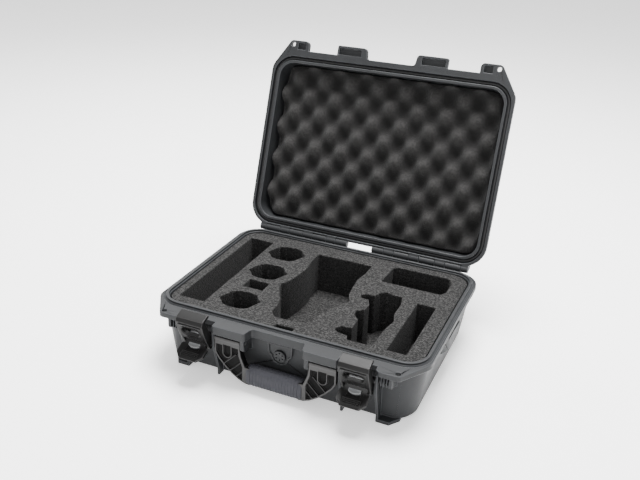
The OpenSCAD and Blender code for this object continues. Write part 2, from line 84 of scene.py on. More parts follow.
def length(name, description, value, top=1.0):
    """A length setting of the case, in metres."""
    return FloatProperty(name=name, description=description, default=value, min=0.0,
                         max=top, precision=5, unit="LENGTH")


class CaseColours(PropertyGroup):
    """Colours of the case's finishes."""
    shell: colour("Shell", "Moulded shells and valve", (0.0143, 0.0150, 0.0161))
    latch: colour("Latch", "Latches and handle arms", (0.0045, 0.0044, 0.0044))
    lock: colour("Slide lock", "Sliding catch in each lever", (0.105, 0.108, 0.110))
    grip: colour("Grip", "Rubber overmould", (0.0230, 0.0232, 0.0282))
    seal: colour("Seal", "Rubber ring in the lid", (0.006, 0.006, 0.0065))
    foam: colour("Foam", "Cut foam insert", (0.0072, 0.0070, 0.0069))
    lid_foam: colour("Lid foam", "Convoluted foam", (0.0175, 0.0169, 0.0166))
    steel: colour("Steel", "Hinge and latch pins", (0.20, 0.20, 0.205))
    membrane: colour("Membrane", "Vent membrane of the valve", (0.30, 0.30, 0.30))
    floor: colour("Floor", "Studio floor", (0.93, 0.93, 0.93))


class CaseSizes(PropertyGroup):
    """Sizes that only the finish needs; the rest come from the frame."""
    shell_edge: length("Shell edge", "Rounding of the shells' edges", 0.0006, 0.001)
    latch_edge: length("Latch edge", "Rounding of the latches' edges", 0.0005, 0.001)
    foam_edge: length("Foam edge", "Rounding of the cut foam's edges", 0.0009, 0.001)
    crest_x: length("Crest pitch across", "Between the lid foam's crests, across", 0.041, 0.06)
    crest_y: length("Crest pitch along", "Between the lid foam's crests, along", 0.048, 0.07)
    crest_depth: length("Crest depth", "From the lid foam's crests to its hollows", 0.0135, 0.02)
    scallop: length("Scallop", "How far the lid foam's edge draws in beside its hollows", 0.004,
                    0.01)
    crest_grid: length("Crest grid", "Spacing of the lid foam's points", 0.0022, 0.01)
    bead: length("Grip bead", "Radius of a bead round the grip", 0.0007, 0.002)
    beads: IntProperty(name="Grip beads", description="Beads round the grip", default=17,
                       min=3, max=40)


class CaseView(PropertyGroup):
    """Where the camera stands and how bright the studio is."""
    azimuth: FloatProperty(name="Azimuth", description="Camera's turn from the front",
                           default=math.radians(23.05), subtype="ANGLE")
    elevation: FloatProperty(name="Elevation", description="Camera's height above level",
                             default=math.radians(25.31), subtype="ANGLE")
    roll: FloatProperty(name="Roll", description="Camera's tilt to one side",
                        default=math.radians(2.0), subtype="ANGLE")
    place: FloatVectorProperty(name="Place", description="Camera's position", size=3,
                               default=(0.34126, -0.81819, 0.56724), unit="LENGTH")
    lens: FloatProperty(name="Lens", description="Focal length in millimetres", default=44.1,
                        min=10.0, max=200.0)
    sky: FloatProperty(name="Sky", description="Strength of the all-round light", default=1.1,
                       min=0.0, max=5.0)
    glow: FloatProperty(name="Floor glow", description="Light that the floor gives off",
                        default=0.5, min=0.0, max=5.0)
    key: FloatProperty(name="Key light", description="Power of the large overhead light",
                       default=122.0, min=0.0, max=500.0, unit="POWER")
    fill: FloatProperty(name="Fill light", description="Power of the front light",
                        default=16.0, min=0.0, max=500.0, unit="POWER")


def settings(context):
    """The scene's case settings."""
    return context.scene.case_colours, context.scene.case_sizes, context.scene.case_view


# ----------------------------------------------------------------- materials

def new_material(name):
    """A node material: itself, its tree and its shader."""
    material = bpy.data.materials.get(name)
    if material is None:
        material = bpy.data.materials.new(name)
    material.use_nodes = True
    return material, material.node_tree, material.node_tree.nodes["Principled BSDF"]


def place_node(tree, kind, **values):
    """A shader node whose inputs take numbers, colours or another node's output."""
    node = tree.nodes.new(kind)
    for key, value in values.items():
        if key.startswith("set_"):
            setattr(node, key[4:], value)
            continue
        socket = node.inputs[int(key[3:]) if key.startswith("at_") else key.replace("_", " ")]
        if isinstance(value, bpy.types.NodeSocket):
            tree.links.new(value, socket)
        else:
            socket.default_value = value
    return node


def texture_space(tree, stretch=(1.0, 1.0, 1.0)):
    """Object coordinates, stretched along the axes."""
    coords = tree.nodes.new("ShaderNodeTexCoord").outputs["Object"]
    return place_node(tree, "ShaderNodeMapping", Vector=coords, Scale=stretch).outputs[0]


def ramp(tree, value, low, high, to_low=0.0, to_high=1.0):
    """A value moved from one range to another and clamped."""
    node = place_node(tree, "ShaderNodeMapRange", Value=value)
    for key, number in (("From Min", low), ("From Max", high), ("To Min", to_low),
                        ("To Max", to_high)):
        node.inputs[key].default_value = number
    return node.outputs[0]


def mix_colours(tree, share, dark, light):
    """A colour between two, by a share from 0 to 1."""
    node = tree.nodes.new("ShaderNodeMix")
    node.data_type = "RGBA"
    tree.links.new(share, node.inputs["Factor"])
    for socket, value in ((node.inputs[6], dark), (node.inputs[7], light)):
        if isinstance(value, bpy.types.NodeSocket):
            tree.links.new(value, socket)
        else:
            socket.default_value = (*value, 1.0)
    return node.outputs[2]


def shade(rgb, factor):
    """A colour made lighter or darker."""
    return tuple(min(1.0, part * factor) for part in rgb)


def moulded(name, rgb, rough, grain=900.0, depth=0.00004, spread=0.10, gloss=0.35):
    """Moulded plastic or rubber: a fine spark-eroded grain, faint flow and scuffs."""
    material, tree, shader = new_material(name)
    space = texture_space(tree)
    fine = place_node(tree, "ShaderNodeTexNoise", Vector=space, Scale=grain, Detail=3.0,
                      Roughness=0.6).outputs["Fac"]
    flow = place_node(tree, "ShaderNodeTexNoise", Vector=space, Scale=14.0, Detail=3.0,
                      Roughness=0.55, Distortion=0.4).outputs["Fac"]
    scuffs = place_node(tree, "ShaderNodeTexNoise",
                        Vector=texture_space(tree, (1.0, 6.0, 1.0)), Scale=95.0, Detail=5.0,
                        Roughness=0.7).outputs["Fac"]
    tone = mix_colours(tree, ramp(tree, flow, 0.35, 0.65), shade(rgb, 1.0 - spread),
                       shade(rgb, 1.0 + spread))
    speck = mix_colours(tree, ramp(tree, scuffs, 0.62, 0.78, 0.0, 0.35), tone,
                        shade(rgb, 1.6))
    coloured = mix_colours(tree, ramp(tree, speck_share(tree, fine), 0.0, 1.0, 0.0, 0.22),
                           speck, shade(rgb, 0.55))
    tree.links.new(coloured, shader.inputs["Base Color"])
    blend = place_node(tree, "ShaderNodeMath", set_operation="MULTIPLY_ADD", at_0=scuffs,
                       at_1=0.5, at_2=ramp(tree, flow, 0.3, 0.7, 0.0, 0.5)).outputs[0]
    tree.links.new(ramp(tree, blend, 0.2, 0.8, rough - 0.07, rough + 0.09),
                   shader.inputs["Roughness"])
    shader.inputs["Specular IOR Level"].default_value = gloss
    bump = place_node(tree, "ShaderNodeBump", Height=fine, Distance=depth, Strength=1.0)
    tree.links.new(bump.outputs[0], shader.inputs["Normal"])
    return material


def speck_share(tree, value):
    """Picks out the darkest specks of a noise."""
    return ramp(tree, value, 0.46, 0.34)


def foamed(name, rgb, cell=760.0, depth=0.0013, streaks=0.5, contrast=0.93, hollow_shade=0.0):
    """Open-cell foam: round cells, loose specks, blade streaks and painted shade in the hollows.
    """
    material, tree, shader = new_material(name)
    space = texture_space(tree)
    cells = place_node(tree, "ShaderNodeTexVoronoi", Vector=space, Scale=cell,
                       Randomness=1.0).outputs["Distance"]
    specks = place_node(tree, "ShaderNodeTexNoise", Vector=space, Scale=cell * 0.52, Detail=2.0,
                        Roughness=0.6).outputs["Fac"]
    clouds = place_node(tree, "ShaderNodeTexNoise", Vector=space, Scale=30.0, Detail=2.0,
                        Roughness=0.5).outputs["Fac"]
    cuts = place_node(tree, "ShaderNodeTexNoise",
                      Vector=texture_space(tree, (1.0, 1.0, 0.06)), Scale=330.0, Detail=3.0,
                      Roughness=0.65).outputs["Fac"]
    speckled = mix_colours(tree, ramp(tree, specks, 0.45, 0.57), shade(rgb, 1.0 - contrast),
                           shade(rgb, 1.0 + 4.2 * contrast))
    clouded = mix_colours(tree, ramp(tree, clouds, 0.3, 0.7, 0.0, 0.22), speckled,
                          shade(rgb, 0.6))
    streaked = mix_colours(tree, ramp(tree, cuts, 0.38, 0.62, streaks, 0.0), clouded,
                           shade(rgb, 0.45))
    # Painted shade: points that sink into the hollows are darkened, by the share given.
    sink = tree.nodes.new("ShaderNodeAttribute")
    sink.attribute_name = "sink"
    shaded_hollows = mix_colours(tree, ramp(tree, sink.outputs["Fac"], 0.15, 0.65, 0.0, hollow_shade), streaked,
                       shade(rgb, 0.2))
    tree.links.new(shaded_hollows, shader.inputs["Base Color"])
    tree.links.new(ramp(tree, specks, 0.3, 0.7, 0.88, 1.0), shader.inputs["Roughness"])
    shader.inputs["Specular IOR Level"].default_value = 0.12
    shader.inputs["Sheen Weight"].default_value = 0.06
    shader.inputs["Sheen Roughness"].default_value = 0.6
    height = place_node(tree, "ShaderNodeMath", set_operation="MULTIPLY_ADD", at_0=specks,
                        at_1=0.8, at_2=cells).outputs[0]
    bump = place_node(tree, "ShaderNodeBump", Height=height, Distance=depth, Strength=0.9)
    tree.links.new(bump.outputs[0], shader.inputs["Normal"])
    return material


def ground_steel(name, rgb):
    """Ground steel pins with fine lines round them."""
    material, tree, shader = new_material(name)
    lines = place_node(tree, "ShaderNodeTexNoise",
                       Vector=texture_space(tree, (900.0, 40.0, 40.0)), Scale=1.0, Detail=3.0,
                       Roughness=0.6).outputs["Fac"]
    tree.links.new(mix_colours(tree, ramp(tree, lines, 0.35, 0.65), shade(rgb, 0.85),
                               shade(rgb, 1.1)), shader.inputs["Base Color"])
    tree.links.new(ramp(tree, lines, 0.3, 0.7, 0.26, 0.44), shader.inputs["Roughness"])
    shader.inputs["Metallic"].default_value = 1.0
    bump = place_node(tree, "ShaderNodeBump", Height=lines, Distance=0.00002, Strength=0.6)
    tree.links.new(bump.outputs[0], shader.inputs["Normal"])
    return material


def plastic_pair(name, rgb, rough, edge_highlight=1.5, **more):
    """A plastic and the lighter, smoother version of it that shows on rounded edges; the lighter
    colour there is a painted highlight.
    """
    edge = dict(more, depth=more.get("depth", 0.00004) * 0.5)
    return [moulded(name, rgb, rough, **more),
            moulded(name + "_edge", shade(rgb, edge_highlight), rough - 0.1, **edge)]


# -------------------------------------------------------------- mesh helpers

def link(name, mesh, materials):
    """A new object at the origin with this mesh and these materials."""
    obj = bpy.data.objects.new(name, mesh)
    bpy.context.scene.collection.objects.link(obj)
    mesh.materials.clear()
    for material in materials:
        mesh.materials.append(material)
    return obj


def mesh_from(name, bm):
    """A plain mesh of a bmesh's points and faces, with no other layers."""
    bm.verts.index_update()
    mesh = bpy.data.meshes.new(name)
    mesh.from_pydata([v.co[:] for v in bm.verts], [],
                     [[v.index for v in face.verts] for face in bm.faces])
    bm.free()
    return mesh


def smooth(mesh, degrees):
    """Smooth faces that break at edges sharper than an angle."""
    mesh.polygons.foreach_set("use_smooth", [True] * len(mesh.polygons))
    mesh.set_sharp_from_angle(angle=math.radians(degrees))


def settle(obj):
    """Turns an object's modifiers into plain mesh and removes them."""
    graph = bpy.context.evaluated_depsgraph_get()
    mesh = bpy.data.meshes.new_from_object(obj.evaluated_get(graph), depsgraph=graph)
    obj.modifiers.clear()
    obj.data = mesh
    mesh.name = obj.name
    return obj


def node_copy(node):
    """A merged bmesh copy of a frame node, with its flat faces joined up."""
    bm = bmesh.new()
    bm.from_mesh(frame["nodes"][node].data)
    bmesh.ops.remove_doubles(bm, verts=bm.verts, dist=MERGE_GAP)
    bmesh.ops.dissolve_degenerate(bm, edges=bm.edges, dist=SLIVER_EDGE)
    bm.normal_update()
    seen, flats = set(), []
    for first in bm.faces:
        if first in seen:
            continue
        flat = [first]
        seen.add(first)
        for face in flat:
            for edge in face.edges:
                for other in edge.link_faces:
                    if other not in seen and other.normal.dot(first.normal) > FLAT_COSINE:
                        seen.add(other)
                        flat.append(other)
        corners = {v for face in flat for v in face.verts}
        edges = {e for face in flat for e in face.edges}
        # a flat with holes in it stays in triangles
        if len(flat) > 1 and len(corners) - len(edges) + len(flat) == 1:
            flats.append(flat)
    for flat in flats:
        bmesh.ops.dissolve_faces(bm, faces=flat)
    return bm


def soften(obj, width, segments=2, degrees=38.0, edge_slot=1):
    """Rounds the sharp edges of a piece and evens its shading."""
    bevel = obj.modifiers.new("Edges", "BEVEL")
    bevel.width = width
    bevel.segments = segments
    bevel.limit_method = "ANGLE"
    bevel.angle_limit = math.radians(degrees)
    bevel.use_clamp_overlap = False
    bevel.material = edge_slot
    bevel.miter_outer = "MITER_SHARP"
    even = obj.modifiers.new("Even", "WEIGHTED_NORMAL")
    even.weight = 60
    even.keep_sharp = True
    smooth(obj.data, 60.0)
    return settle(obj)


def rounded_node(node, width, materials, segments=2, degrees=38.0, extras=(), choose=None):
    """A rounded copy of a frame node, with extra shapes and a finish chosen for each face."""
    bm = node_copy(node)
    for extra in extras:
        spare = bpy.data.meshes.new("extra")
        extra.to_mesh(spare)
        extra.free()
        bm.from_mesh(spare)
        bpy.data.meshes.remove(spare)
    obj = link(node + "_finish", mesh_from(node, bm), materials)
    for face in obj.data.polygons if choose else ():
        face.material_index = choose(face.center, face.normal)
    return soften(obj, width, segments, degrees, min(1, len(materials) - 1))


def paint(node, material):
    """Gives a frame node that stays as it is one material."""
    mesh = frame["nodes"][node].data
    mesh.materials.clear()
    mesh.materials.append(material)


def finish_piece(obj, body, slot, *nodes):
    """Joins a finished piece to its body and hides the frame nodes it stands for."""
    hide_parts(*nodes)
    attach(obj, body)
    return obj


def shut_box(node):
    """Corners of a lid node, measured with the lid shut."""
    back = LID_OPEN.inverted()
    points = [back @ v.co for v in frame["nodes"][node].data.vertices]
    return (Vector([min(p[i] for p in points) for i in range(3)]),
            Vector([max(p[i] for p in points) for i in range(3)]))


def ring_round(bm, centre, across, up, out, half_a, half_b, radius, thick, steps=10):
    """A bead along a round-ended rectangle; across, up and out are unit vectors."""
    path = []
    for corner, start in (((1, 1), 0), ((-1, 1), 90), ((-1, -1), 180), ((1, -1), 270)):
        for step in range(steps + 1):
            angle = math.radians(start + 90 * step / steps)
            path.append((corner[0] * (half_a - radius) + radius * math.cos(angle),
                         corner[1] * (half_b - radius) + radius * math.sin(angle),
                         math.cos(angle), math.sin(angle)))
    rows = []
    for a, b, na, nb in path:
        row = []
        for turn in range(8):
            angle = math.tau * turn / 8
            side, lift = thick * math.cos(angle), thick * math.sin(angle)
            row.append(bm.verts.new(centre + across * (a + na * side) + up * (b + nb * side)
                                    + out * lift))
        rows.append(row)
    for i, row in enumerate(rows):
        nxt = rows[(i + 1) % len(rows)]
        for k in range(8):
            bm.faces.new((row[k], nxt[k], nxt[(k + 1) % 8], row[(k + 1) % 8]))
    bmesh.ops.remove_doubles(bm, verts=bm.verts, dist=1e-6)
    bmesh.ops.recalc_face_normals(bm, faces=bm.faces)
    return bm


def block(low, high, turn=None, taper=0.0):
    """A closed box between two corners, narrower at its top by taper, then turned."""
    bm = bmesh.new()
    corners = []
    for z, inset in ((low[2], 0.0), (high[2], taper)):
        for x, y in ((low[0] + inset, low[1] + inset), (high[0] - inset, low[1] + inset),
                     (high[0] - inset, high[1] - inset), (low[0] + inset, high[1] - inset)):
            corners.append(bm.verts.new((x, y, z)))
    for face in ((3, 2, 1, 0), (4, 5, 6, 7), (0, 1, 5, 4), (1, 2, 6, 5), (2, 3, 7, 6),
                 (3, 0, 4, 7)):
        bm.faces.new([corners[i] for i in face])
    if turn is not None:
        bmesh.ops.transform(bm, matrix=turn, verts=bm.verts)
    return bm


# ---------------------------------------------------------- geometry networks

def new_network(name, numbers, whole=()):
    """An empty geometry network with named number inputs, and its socket names."""
    tree = bpy.data.node_groups.new(name, "GeometryNodeTree")
    tree.interface.new_socket("Geometry", in_out="INPUT", socket_type="NodeSocketGeometry")
    keys = {}
    for label in numbers:
        socket = tree.interface.new_socket(label, in_out="INPUT",
                                           socket_type="NodeSocketFloat")
        keys[label] = socket.identifier
    for label in whole:
        socket = tree.interface.new_socket(label, in_out="INPUT", socket_type="NodeSocketInt")
        keys[label] = socket.identifier
    tree.interface.new_socket("Geometry", in_out="OUTPUT", socket_type="NodeSocketGeometry")
    return tree, tree.nodes.new("NodeGroupInput").outputs, keys


def sum_node(tree, operation, *values):
    """A maths node over numbers or other nodes' outputs."""
    node = tree.nodes.new("ShaderNodeMath")
    node.operation = operation
    for socket, value in zip(node.inputs, values):
        if isinstance(value, bpy.types.NodeSocket):
            tree.links.new(value, socket)
        else:
            socket.default_value = value
    return node.outputs[0]


def close_network(tree, geometry, material):
    """Ends a network in real mesh with its material."""
    real = tree.nodes.new("GeometryNodeRealizeInstances")
    paint = tree.nodes.new("GeometryNodeSetMaterial")
    paint.inputs["Material"].default_value = material
    tree.links.new(geometry, real.inputs[0])
    tree.links.new(real.outputs[0], paint.inputs["Geometry"])
    tree.links.new(paint.outputs[0], tree.nodes.new("NodeGroupOutput").inputs[0])


def run_network(obj, tree, keys, values):
    """Puts a network on a piece with its values and turns the result into mesh."""
    modifier = obj.modifiers.new(tree.name, "NODES")
    modifier.node_group = tree
    for label, value in values.items():
        modifier[keys[label]] = value
    return settle(obj)


def crest_network(material):
    """Raises a block's marked face into an egg-crate of crests and hollows."""
    tree, given, keys = new_network("Crests", (
        "Pitch X", "Pitch Y", "Phase X", "Phase Y", "Depth"))
    spot = tree.nodes.new("ShaderNodeSeparateXYZ")
    tree.links.new(tree.nodes.new("GeometryNodeInputPosition").outputs[0], spot.inputs[0])
    waves = []
    for axis, pitch, phase in (("X", "Pitch X", "Phase X"), ("Y", "Pitch Y", "Phase Y")):
        moved = sum_node(tree, "SUBTRACT", spot.outputs[axis], given[phase])
        turns = sum_node(tree, "DIVIDE", moved, given[pitch])
        waves.append(sum_node(tree, "COSINE", sum_node(tree, "MULTIPLY", turns, math.tau)))
    wave = sum_node(tree, "MULTIPLY", *waves)
    sink = sum_node(tree, "MULTIPLY_ADD", wave, -0.5, 0.5)
    mark = tree.nodes.new("GeometryNodeInputNamedAttribute")
    mark.data_type = "FLOAT"
    mark.inputs["Name"].default_value = "face"
    depth = sum_node(tree, "MULTIPLY", sum_node(tree, "MULTIPLY", sink, given["Depth"]),
                     mark.outputs["Attribute"])
    offset = tree.nodes.new("ShaderNodeCombineXYZ")
    tree.links.new(depth, offset.inputs["Z"])
    # Stores how far each point sinks into a hollow; the foam material uses it to paint shade in
    # the hollows.
    noted = tree.nodes.new("GeometryNodeStoreNamedAttribute")
    noted.data_type = "FLOAT"
    noted.inputs["Name"].default_value = "sink"
    tree.links.new(given["Geometry"], noted.inputs["Geometry"])
    tree.links.new(sum_node(tree, "MULTIPLY", sink, mark.outputs["Attribute"]),
                   noted.inputs["Value"])
    moved = tree.nodes.new("GeometryNodeSetPosition")
    tree.links.new(noted.outputs[0], moved.inputs["Geometry"])
    tree.links.new(offset.outputs[0], moved.inputs["Offset"])
    close_network(tree, moved.outputs[0], material)
    return tree, keys


def rounded_loop(tree, width, depth, radius, count):
    """A filleted rectangle as a curve, in a geometry network."""
    loop = tree.nodes.new("GeometryNodeCurvePrimitiveQuadrilateral")
    tree.links.new(width, loop.inputs["Width"])
    tree.links.new(depth, loop.inputs["Height"])
    fillet = tree.nodes.new("GeometryNodeFilletCurve")
    fillet.mode = "POLY"
    fillet.inputs["Count"].default_value = count
    tree.links.new(radius, fillet.inputs["Radius"])
    tree.links.new(loop.outputs[0], fillet.inputs["Curve"])
    return fillet.outputs[0]


def swept(tree, curve, radius, points):
    """A round bead along a curve, in a geometry network."""
    profile = tree.nodes.new("GeometryNodeCurvePrimitiveCircle")
    profile.inputs["Resolution"].default_value = points
    tree.links.new(radius, profile.inputs["Radius"])
    sweep = tree.nodes.new("GeometryNodeCurveToMesh")
    tree.links.new(curve, sweep.inputs["Curve"])
    tree.links.new(profile.outputs[0], sweep.inputs["Profile Curve"])
    return sweep.outputs[0]


def seal_network(material):
    """A rubber ring that follows a filleted rectangle."""
    tree, given, keys = new_network("Seal ring", ("Width", "Depth", "Corner", "Bead"))
    loop = rounded_loop(tree, given["Width"], given["Depth"], given["Corner"], 14)
    close_network(tree, swept(tree, loop, given["Bead"], 12), material)
    return tree, keys


def bead_network(material):
    """Beads round the grip, side by side along its length."""
    tree, given, keys = new_network("Grip beads", (
        "Depth", "Height", "Corner", "Bead", "Start", "Pitch", "Place Y", "Place Z"),
        ("Count",))
    loop = rounded_loop(tree, given["Depth"], given["Height"], given["Corner"], 6)
    upright = tree.nodes.new("GeometryNodeTransform")
    upright.inputs["Rotation"].default_value = (math.pi / 2, 0.0, math.pi / 2)
    tree.links.new(swept(tree, loop, given["Bead"], 6), upright.inputs["Geometry"])
    line = tree.nodes.new("GeometryNodeMeshLine")
    tree.links.new(given["Count"], line.inputs["Count"])
    start = tree.nodes.new("ShaderNodeCombineXYZ")
    for label, axis in (("Start", "X"), ("Place Y", "Y"), ("Place Z", "Z")):
        tree.links.new(given[label], start.inputs[axis])
    step = tree.nodes.new("ShaderNodeCombineXYZ")
    tree.links.new(given["Pitch"], step.inputs["X"])
    tree.links.new(start.outputs[0], line.inputs["Start Location"])
    tree.links.new(step.outputs[0], line.inputs["Offset"])
    copies = tree.nodes.new("GeometryNodeInstanceOnPoints")
    tree.links.new(line.outputs[0], copies.inputs["Points"])
    tree.links.new(upright.outputs[0], copies.inputs["Instance"])
    both = tree.nodes.new("GeometryNodeJoinGeometry")
    tree.links.new(given["Geometry"], both.inputs[0])
    tree.links.new(copies.outputs[0], both.inputs[0])
    close_network(tree, both.outputs[0], material)
    return tree, keys


# -------------------------------------------------------------------- pieces

class CASE_OT_stage(Operator):
    """Floor, studio light and camera"""
    bl_idname = "case.stage"
    bl_label = "Stage"

    def execute(self, context):
        colours, _, view = settings(context)
        turn, rise = view.azimuth, view.elevation
        ahead = Vector((-math.sin(turn) * math.cos(rise), math.cos(turn) * math.cos(rise),
                        -math.sin(rise)))
        right = Vector((math.cos(turn), math.sin(turn), 0.0))
        over = right.cross(ahead)
        side = right * math.cos(view.roll) + over * math.sin(view.roll)
        top = over * math.cos(view.roll) - right * math.sin(view.roll)
        camera = bpy.data.objects.new("camera", bpy.data.cameras.new("camera"))
        camera.matrix_world = Matrix.Translation(view.place) @ Matrix(
            (side, top, -ahead)).transposed().to_4x4()
        camera.data.lens = view.lens
        camera.data.sensor_width = 36.0
        camera.data.clip_end = 50.0
        context.scene.collection.objects.link(camera)
        context.scene.camera = camera

        bm = bmesh.new()
        bmesh.ops.create_grid(bm, x_segments=8, y_segments=8, size=6.0)
        material, tree, shader = new_material("studio_floor")
        cloud = place_node(tree, "ShaderNodeTexNoise", Vector=texture_space(tree), Scale=3.0,
                           Detail=2.0).outputs["Fac"]
        tree.links.new(mix_colours(tree, cloud, shade(colours.floor, 0.99),
                                   shade(colours.floor, 1.01)), shader.inputs["Base Color"])
        shader.inputs["Roughness"].default_value = 0.75
        shader.inputs["Specular IOR Level"].default_value = 0.2
        shader.inputs["Emission Color"].default_value = (1.0, 1.0, 1.0, 1.0)
        shader.inputs["Emission Strength"].default_value = view.glow
        link("studio_floor", mesh_from("studio_floor", bm), [material])

        world = bpy.data.worlds.new("studio")
        world.use_nodes = True
        sky = world.node_tree.nodes["Background"]
        sky.inputs["Color"].default_value = (1.0, 1.0, 1.0, 1.0)
        sky.inputs["Strength"].default_value = view.sky
        context.scene.world = world
        for name, place, size, power in (
                ("key", (0.05, 0.30, 1.70), 1.0, view.key),
                ("fill", (0.35, -1.6, 0.8), 1.0, view.fill),
                ("rim", (-0.9, 0.9, 1.2), 0.9, view.fill * 0.7)):
            light = bpy.data.lights.new(name, "AREA")
            light.shape = "DISK"
            light.size = size
            light.energy = power
            lamp = bpy.data.objects.new(name, light)
            lamp.location = place
            aim = Vector((0.0, 0.05, 0.1)) - Vector(place)
            lamp.rotation_euler = aim.to_track_quat("-Z", "Y").to_euler()
            context.scene.collection.objects.link(lamp)
        return {"FINISHED"}


class CASE_OT_shells(Operator):
    """Base shell and lid shell"""
    bl_idname = "case.shells"
    bl_label = "Shells"

    def execute(self, context):
        colours, sizes, _ = settings(context)
        # The shells' rounded edges are 2.2 times lighter: a painted highlight.
        plastic = plastic_pair("shell_plastic", colours.shell, 0.55, edge_highlight=2.2, grain=1100.0,
                               depth=0.00007, spread=0.08, gloss=0.22)
        for node, body in (("base_shell", "case_base"), ("lid_shell", "lid")):
            finish_piece(rounded_node(node, sizes.shell_edge, plastic), body,
                         "shell_plastic", node)
        return {"FINISHED"}


class CASE_OT_foam_insert(Operator):
    """Two layers of cut foam and the pad under them"""
    bl_idname = "case.foam_insert"
    bl_label = "Foam insert"

    def execute(self, context):
        colours, sizes, _ = settings(context)
        skin = foamed("cut_foam", colours.foam)
        # The walls and floors of the cut pockets take a foam 0.42 times as dark, with stronger
        # blade streaks: partly the cut faces' own look, partly painted shade in the pockets.
        cut_faces_and_shade = foamed("cut_foam_faces_and_shade", shade(colours.foam, 0.42), streaks=0.7)
        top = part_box("base_foam")[1][2]
        for node in ("base_foam", "base_foam_lower", "base_foam_pad"):
            piece = rounded_node(
                node, sizes.foam_edge, [cut_faces_and_shade, skin], segments=3, degrees=24.0,
                choose=lambda place, way: int(way[2] > 0.9 and not 0.03 < place[2] < top - 0.001))
            finish_piece(piece, "case_base", "foam", node)
        return {"FINISHED"}


class CASE_OT_lid_foam(Operator):
    """Convoluted foam in the lid"""
    bl_idname = "case.lid_foam"
    bl_label = "Lid foam"
    first = (-0.138, -0.093)     # where one of the crests stands

    def execute(self, context):
        colours, sizes, _ = settings(context)
        # The hollows between the crests are darkened: painted shade.
        material = foamed("convoluted_foam", colours.lid_foam, cell=700.0, depth=0.0006,
                          streaks=0.0, contrast=0.10, hollow_shade=0.85)
        low, high = shut_box("lid_foam")
        obj = link("lid_foam_finish", self.block(low, high, sizes), [material])
        tree, keys = crest_network(material)
        run_network(obj, tree, keys, {
            "Pitch X": sizes.crest_x, "Pitch Y": sizes.crest_y, "Phase X": self.first[0],
            "Phase Y": self.first[1], "Depth": sizes.crest_depth})
        obj.data.transform(LID_OPEN)
        smooth(obj.data, 50.0)
        finish_piece(obj, "lid", "lid_foam", "lid_foam")
        return {"FINISHED"}

    def block(self, low, high, sizes):
        """A closed rounded block with a dense, marked face on its lower side."""
        grid = sizes.crest_grid
        half_x, half_y = high[0], (high[1] - low[1]) / 2
        middle = (high[1] + low[1]) / 2
        across, along = round(2 * half_x / grid), round(2 * half_y / grid)
        # the face, then the waist and the back, each inset as the frame's block is
        levels = ((low[2] + 0.0025, 0.0), (high[2] - 0.005, 0.0004), (high[2], 0.0054))
        bm = bmesh.new()

        def drawn_in(u, v, inset):
            """An inset with the scallop added near the edge of the face."""
            x, y = (2 * u - 1) * half_x, middle + (2 * v - 1) * half_y
            wave = (math.cos(math.tau * (x - self.first[0]) / sizes.crest_x)
                    * math.cos(math.tau * (y - self.first[1]) / sizes.crest_y))
            edge = max(abs(2 * u - 1), abs(2 * v - 1)) ** 12
            return inset + sizes.scallop * edge * (0.5 - 0.5 * wave)

        face = [[bm.verts.new(self.spot(i / across, k / along, half_x, half_y, middle, low[2],
                                        drawn_in(i / across, k / along, 0.0014)))
                 for k in range(along + 1)] for i in range(across + 1)]
        for i in range(across):
            for k in range(along):
                bm.faces.new((face[i][k], face[i][k + 1], face[i + 1][k + 1], face[i + 1][k]))
        border = [(i, 0) for i in range(across)] + [(across, k) for k in range(along)]
        border += [(i, along) for i in range(across, 0, -1)]
        border += [(0, k) for k in range(along, 0, -1)]
        ring = [face[i][k] for i, k in border]
        marked = len(face) * len(face[0])
        rows = [ring]
        for z, inset in levels:
            rows.append([bm.verts.new(self.spot(
                i / across, k / along, half_x, half_y, middle, z,
                drawn_in(i / across, k / along, inset) if z == levels[0][0] else inset))
                for i, k in border])
        for upper, lower in zip(rows, rows[1:]):
            for n, point in enumerate(upper):
                after = (n + 1) % len(upper)
                bm.faces.new((point, upper[after], lower[after], lower[n]))
        bm.faces.new(rows[-1])
        bmesh.ops.recalc_face_normals(bm, faces=bm.faces)
        count = len(bm.verts)
        mesh = mesh_from("lid_foam_finish", bm)
        mark = mesh.attributes.new("face", "FLOAT", "POINT")
        mark.data.foreach_set("value", [1.0] * (marked + len(ring))
                              + [0.0] * (count - marked - len(ring)))
        return mesh

    def spot(self, u, v, half_x, half_y, middle, z, inset, corner=0.021):
        """A point of the block's outline grid, with its corners rounded."""
        x, y = (2 * u - 1) * (half_x - inset), (2 * v - 1) * (half_y - inset)
        over_x, over_y = abs(x) - (half_x - inset - corner), abs(y) - (half_y - inset - corner)
        if over_x > 0 and over_y > 0:
            pull = max(over_x, over_y) / math.hypot(over_x, over_y)
            x = math.copysign(half_x - inset - corner + over_x * pull, x)
            y = math.copysign(half_y - inset - corner + over_y * pull, y)
        return Vector((x, middle + y, z))


class CASE_OT_seal(Operator):
    """Rubber ring in the lid's channel"""
    bl_idname = "case.seal"
    bl_label = "Seal"
    corner = 0.0262              # radius of the ring's corners

    def execute(self, context):
        colours, _, _ = settings(context)
        rubber = moulded("seal_rubber", colours.seal, 0.6, grain=1500.0, depth=0.00002)
        low, high = shut_box("lid_seal")
        width, thick = 0.0042, high[2] - low[2]
        bm = bmesh.new()
        bm.verts.new((0.0, 0.0, 0.0))
        obj = link("lid_seal_finish", mesh_from("lid_seal_finish", bm), [rubber])
        tree, keys = seal_network(rubber)
        run_network(obj, tree, keys, {
            "Width": high[0] - low[0] - width, "Depth": high[1] - low[1] - width,
            "Corner": self.corner, "Bead": width / 2})
        squeeze = Matrix.Diagonal((1.0, 1.0, thick / width, 1.0))
        lift = Matrix.Translation((0.0, (low[1] + high[1]) / 2, (low[2] + high[2]) / 2))
        obj.data.transform(LID_OPEN @ lift @ squeeze)
        smooth(obj.data, 60.0)
        finish_piece(obj, "lid", "seal_rubber", "lid_seal")
        return {"FINISHED"}


